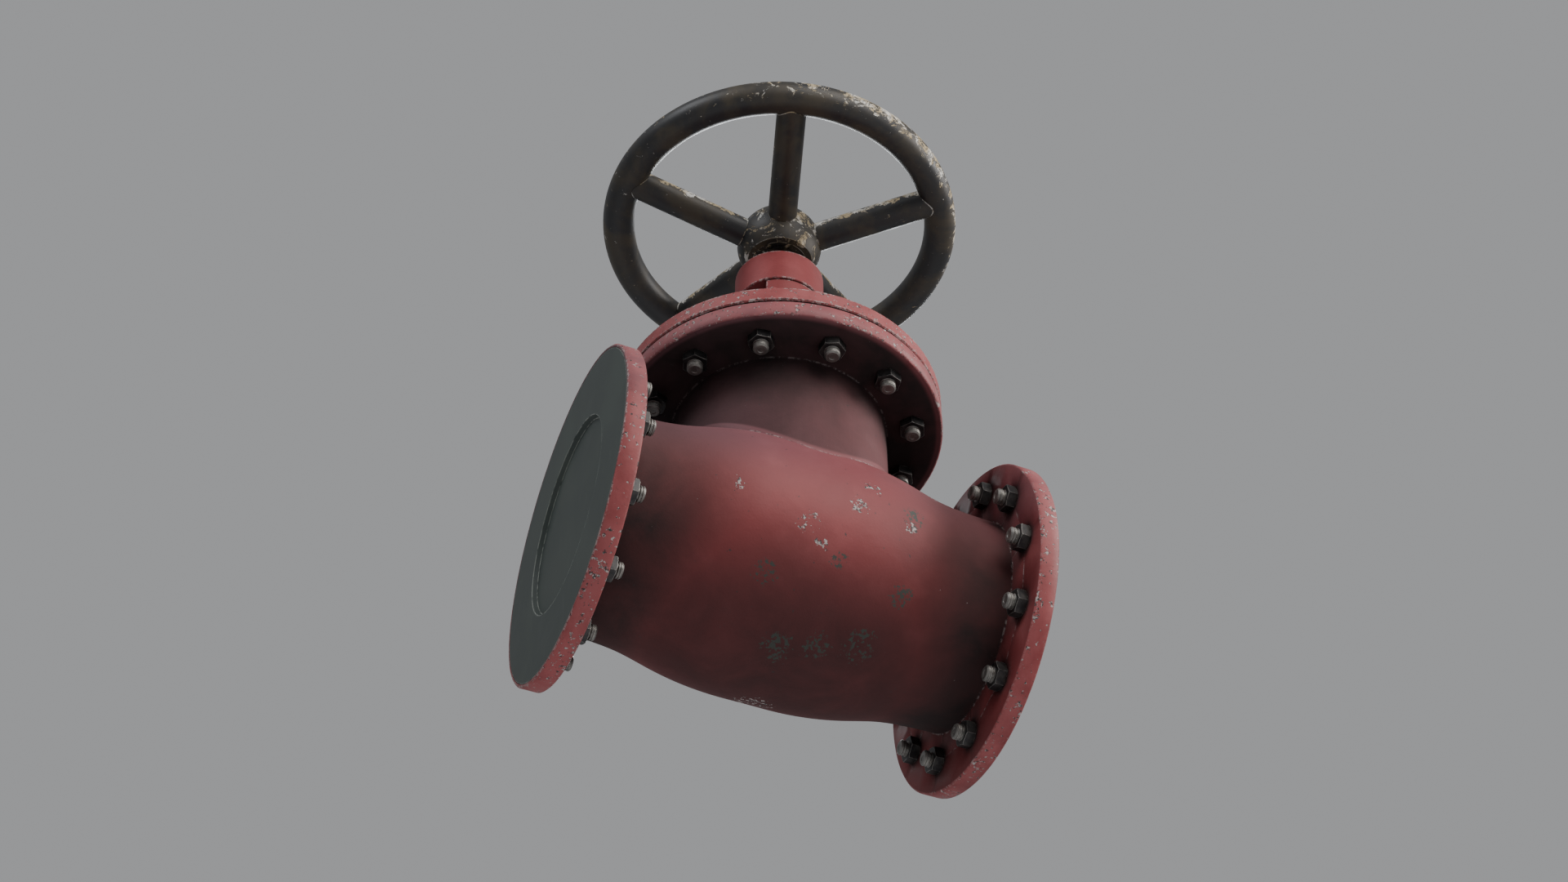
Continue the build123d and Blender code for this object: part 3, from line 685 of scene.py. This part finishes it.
def make_materials():
    MATERIALS.update({
        "red_body": red_paint("red_body", True),
        "red_bonnet": red_paint("red_bonnet", False),
        "wheel_rim": wheel_paint("wheel_rim", rim_wear),
        "wheel_spokes": wheel_paint("wheel_spokes", upper_wear),
        "wheel_hub": wheel_paint("wheel_hub", lambda p: HUB_WEAR),
        "cover_plastic": cover_plastic(),
        "nut_steel": fastener_steel("nut_steel", STEEL_DARK, (0.075, 0.072, 0.07), 0.75),
        "stud_steel": fastener_steel("stud_steel", (0.16, 0.155, 0.145), STEEL_LIGHT, 0.9),
        "stem_steel": turned_metal("stem_steel", (0.22, 0.21, 0.20), (0.42, 0.41, 0.39), 0.22),
        "disc_steel": turned_metal("disc_steel", (0.24, 0.23, 0.22), (0.40, 0.39, 0.37), 0.28),
        "bronze": turned_metal("bronze", (0.24, 0.13, 0.045), (0.46, 0.28, 0.11), 0.26),
        "gland_iron": bare_iron(),
        "graphite": dull_stuff("graphite", (0.012, 0.012, 0.013), (0.05, 0.05, 0.052)),
        "seal_rubber": dull_stuff("seal_rubber", (0.008,) * 3, (0.022,) * 3),
    })


def finish_nodes():
    """Give every CAD node its finish."""
    for finish, nodes in FINISHES.items():
        for node in nodes:
            data = frame["nodes"][node].data
            data.materials.clear()
            data.materials.append(MATERIALS[finish])


def node_body(node):
    bodies = frame["record"]["behaviour"]["bodies"]
    return next(body for body, nodes in bodies.items() if node in nodes)


def dress(piece, finish, *nodes):
    """Finish a detailed piece and let it stand for its CAD nodes."""
    smooth(piece)
    piece.data.materials.append(MATERIALS[finish])
    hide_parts(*nodes)
    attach(piece, node_body(nodes[0]))


def make_camera():
    data = bpy.data.cameras.new("camera")
    data.lens = CAMERA_LENS_MM
    data.sensor_width = 36.0
    data.clip_end = 200.0
    camera = bpy.data.objects.new("camera", data)
    camera.location = CAMERA_AT
    camera.rotation_euler = (CAMERA_LOOKS_AT - CAMERA_AT).to_track_quat("-Z", "Y").to_euler()
    bpy.context.scene.collection.objects.link(camera)
    bpy.context.scene.camera = camera


def make_floor():
    """Large plain floor well below the valve."""
    reach = 60.0
    corners = [(x * reach, y * reach, FLOOR_Z) for x, y in ((-1, -1), (1, -1), (1, 1), (-1, 1))]
    mesh = bpy.data.meshes.new("floor")
    mesh.from_pydata(corners, [], [(0, 1, 2, 3)])
    floor = add_object("floor", mesh)
    p = Paint("floor")
    cloud = p.noise(1.4, 3, 0.5)
    base = p.blend(cloud, (0.78, 0.78, 0.79), (0.82, 0.82, 0.83))
    mesh.materials.append(p.finish(base, 0.9))


def soft_light(name, at, size, watts, tint):
    """Round area light aimed at the middle of the valve."""
    data = bpy.data.lights.new(name, "AREA")
    data.shape = "DISK"
    data.size = size
    data.energy = watts
    data.color = tint
    light = bpy.data.objects.new(name, data)
    light.location = at
    light.rotation_euler = (LIT_MIDDLE - Vector(at)).to_track_quat("-Z", "Y").to_euler()
    bpy.context.scene.collection.objects.link(light)


def make_lights():
    """Key in front and above, one from the outlet side, a soft one behind and a weak fill."""
    soft_light("key", (0.1, -2.3, 1.2), 1.9, 58.0, (1.0, 0.97, 0.93))
    soft_light("side", (1.6, -0.9, 0.9), 0.9, 42.0, (1.0, 0.96, 0.93))
    soft_light("rim", (0.6, 1.6, 1.7), 1.0, 45.0, (0.93, 0.97, 1.0))
    soft_light("fill", (-1.9, -0.7, 1.5), 0.8, 16.0, (0.95, 0.97, 1.0))
    world = bpy.data.worlds.new("studio")
    world.use_nodes = True
    back = world.node_tree.nodes["Background"]
    back.inputs["Color"].default_value = (0.80, 0.81, 0.83, 1.0)
    back.inputs["Strength"].default_value = 0.42
    bpy.context.scene.world = world


make_camera()
make_floor()
make_lights()
make_materials()
finish_nodes()
make_casting()
make_studs()
make_gland_studs()
make_stem()
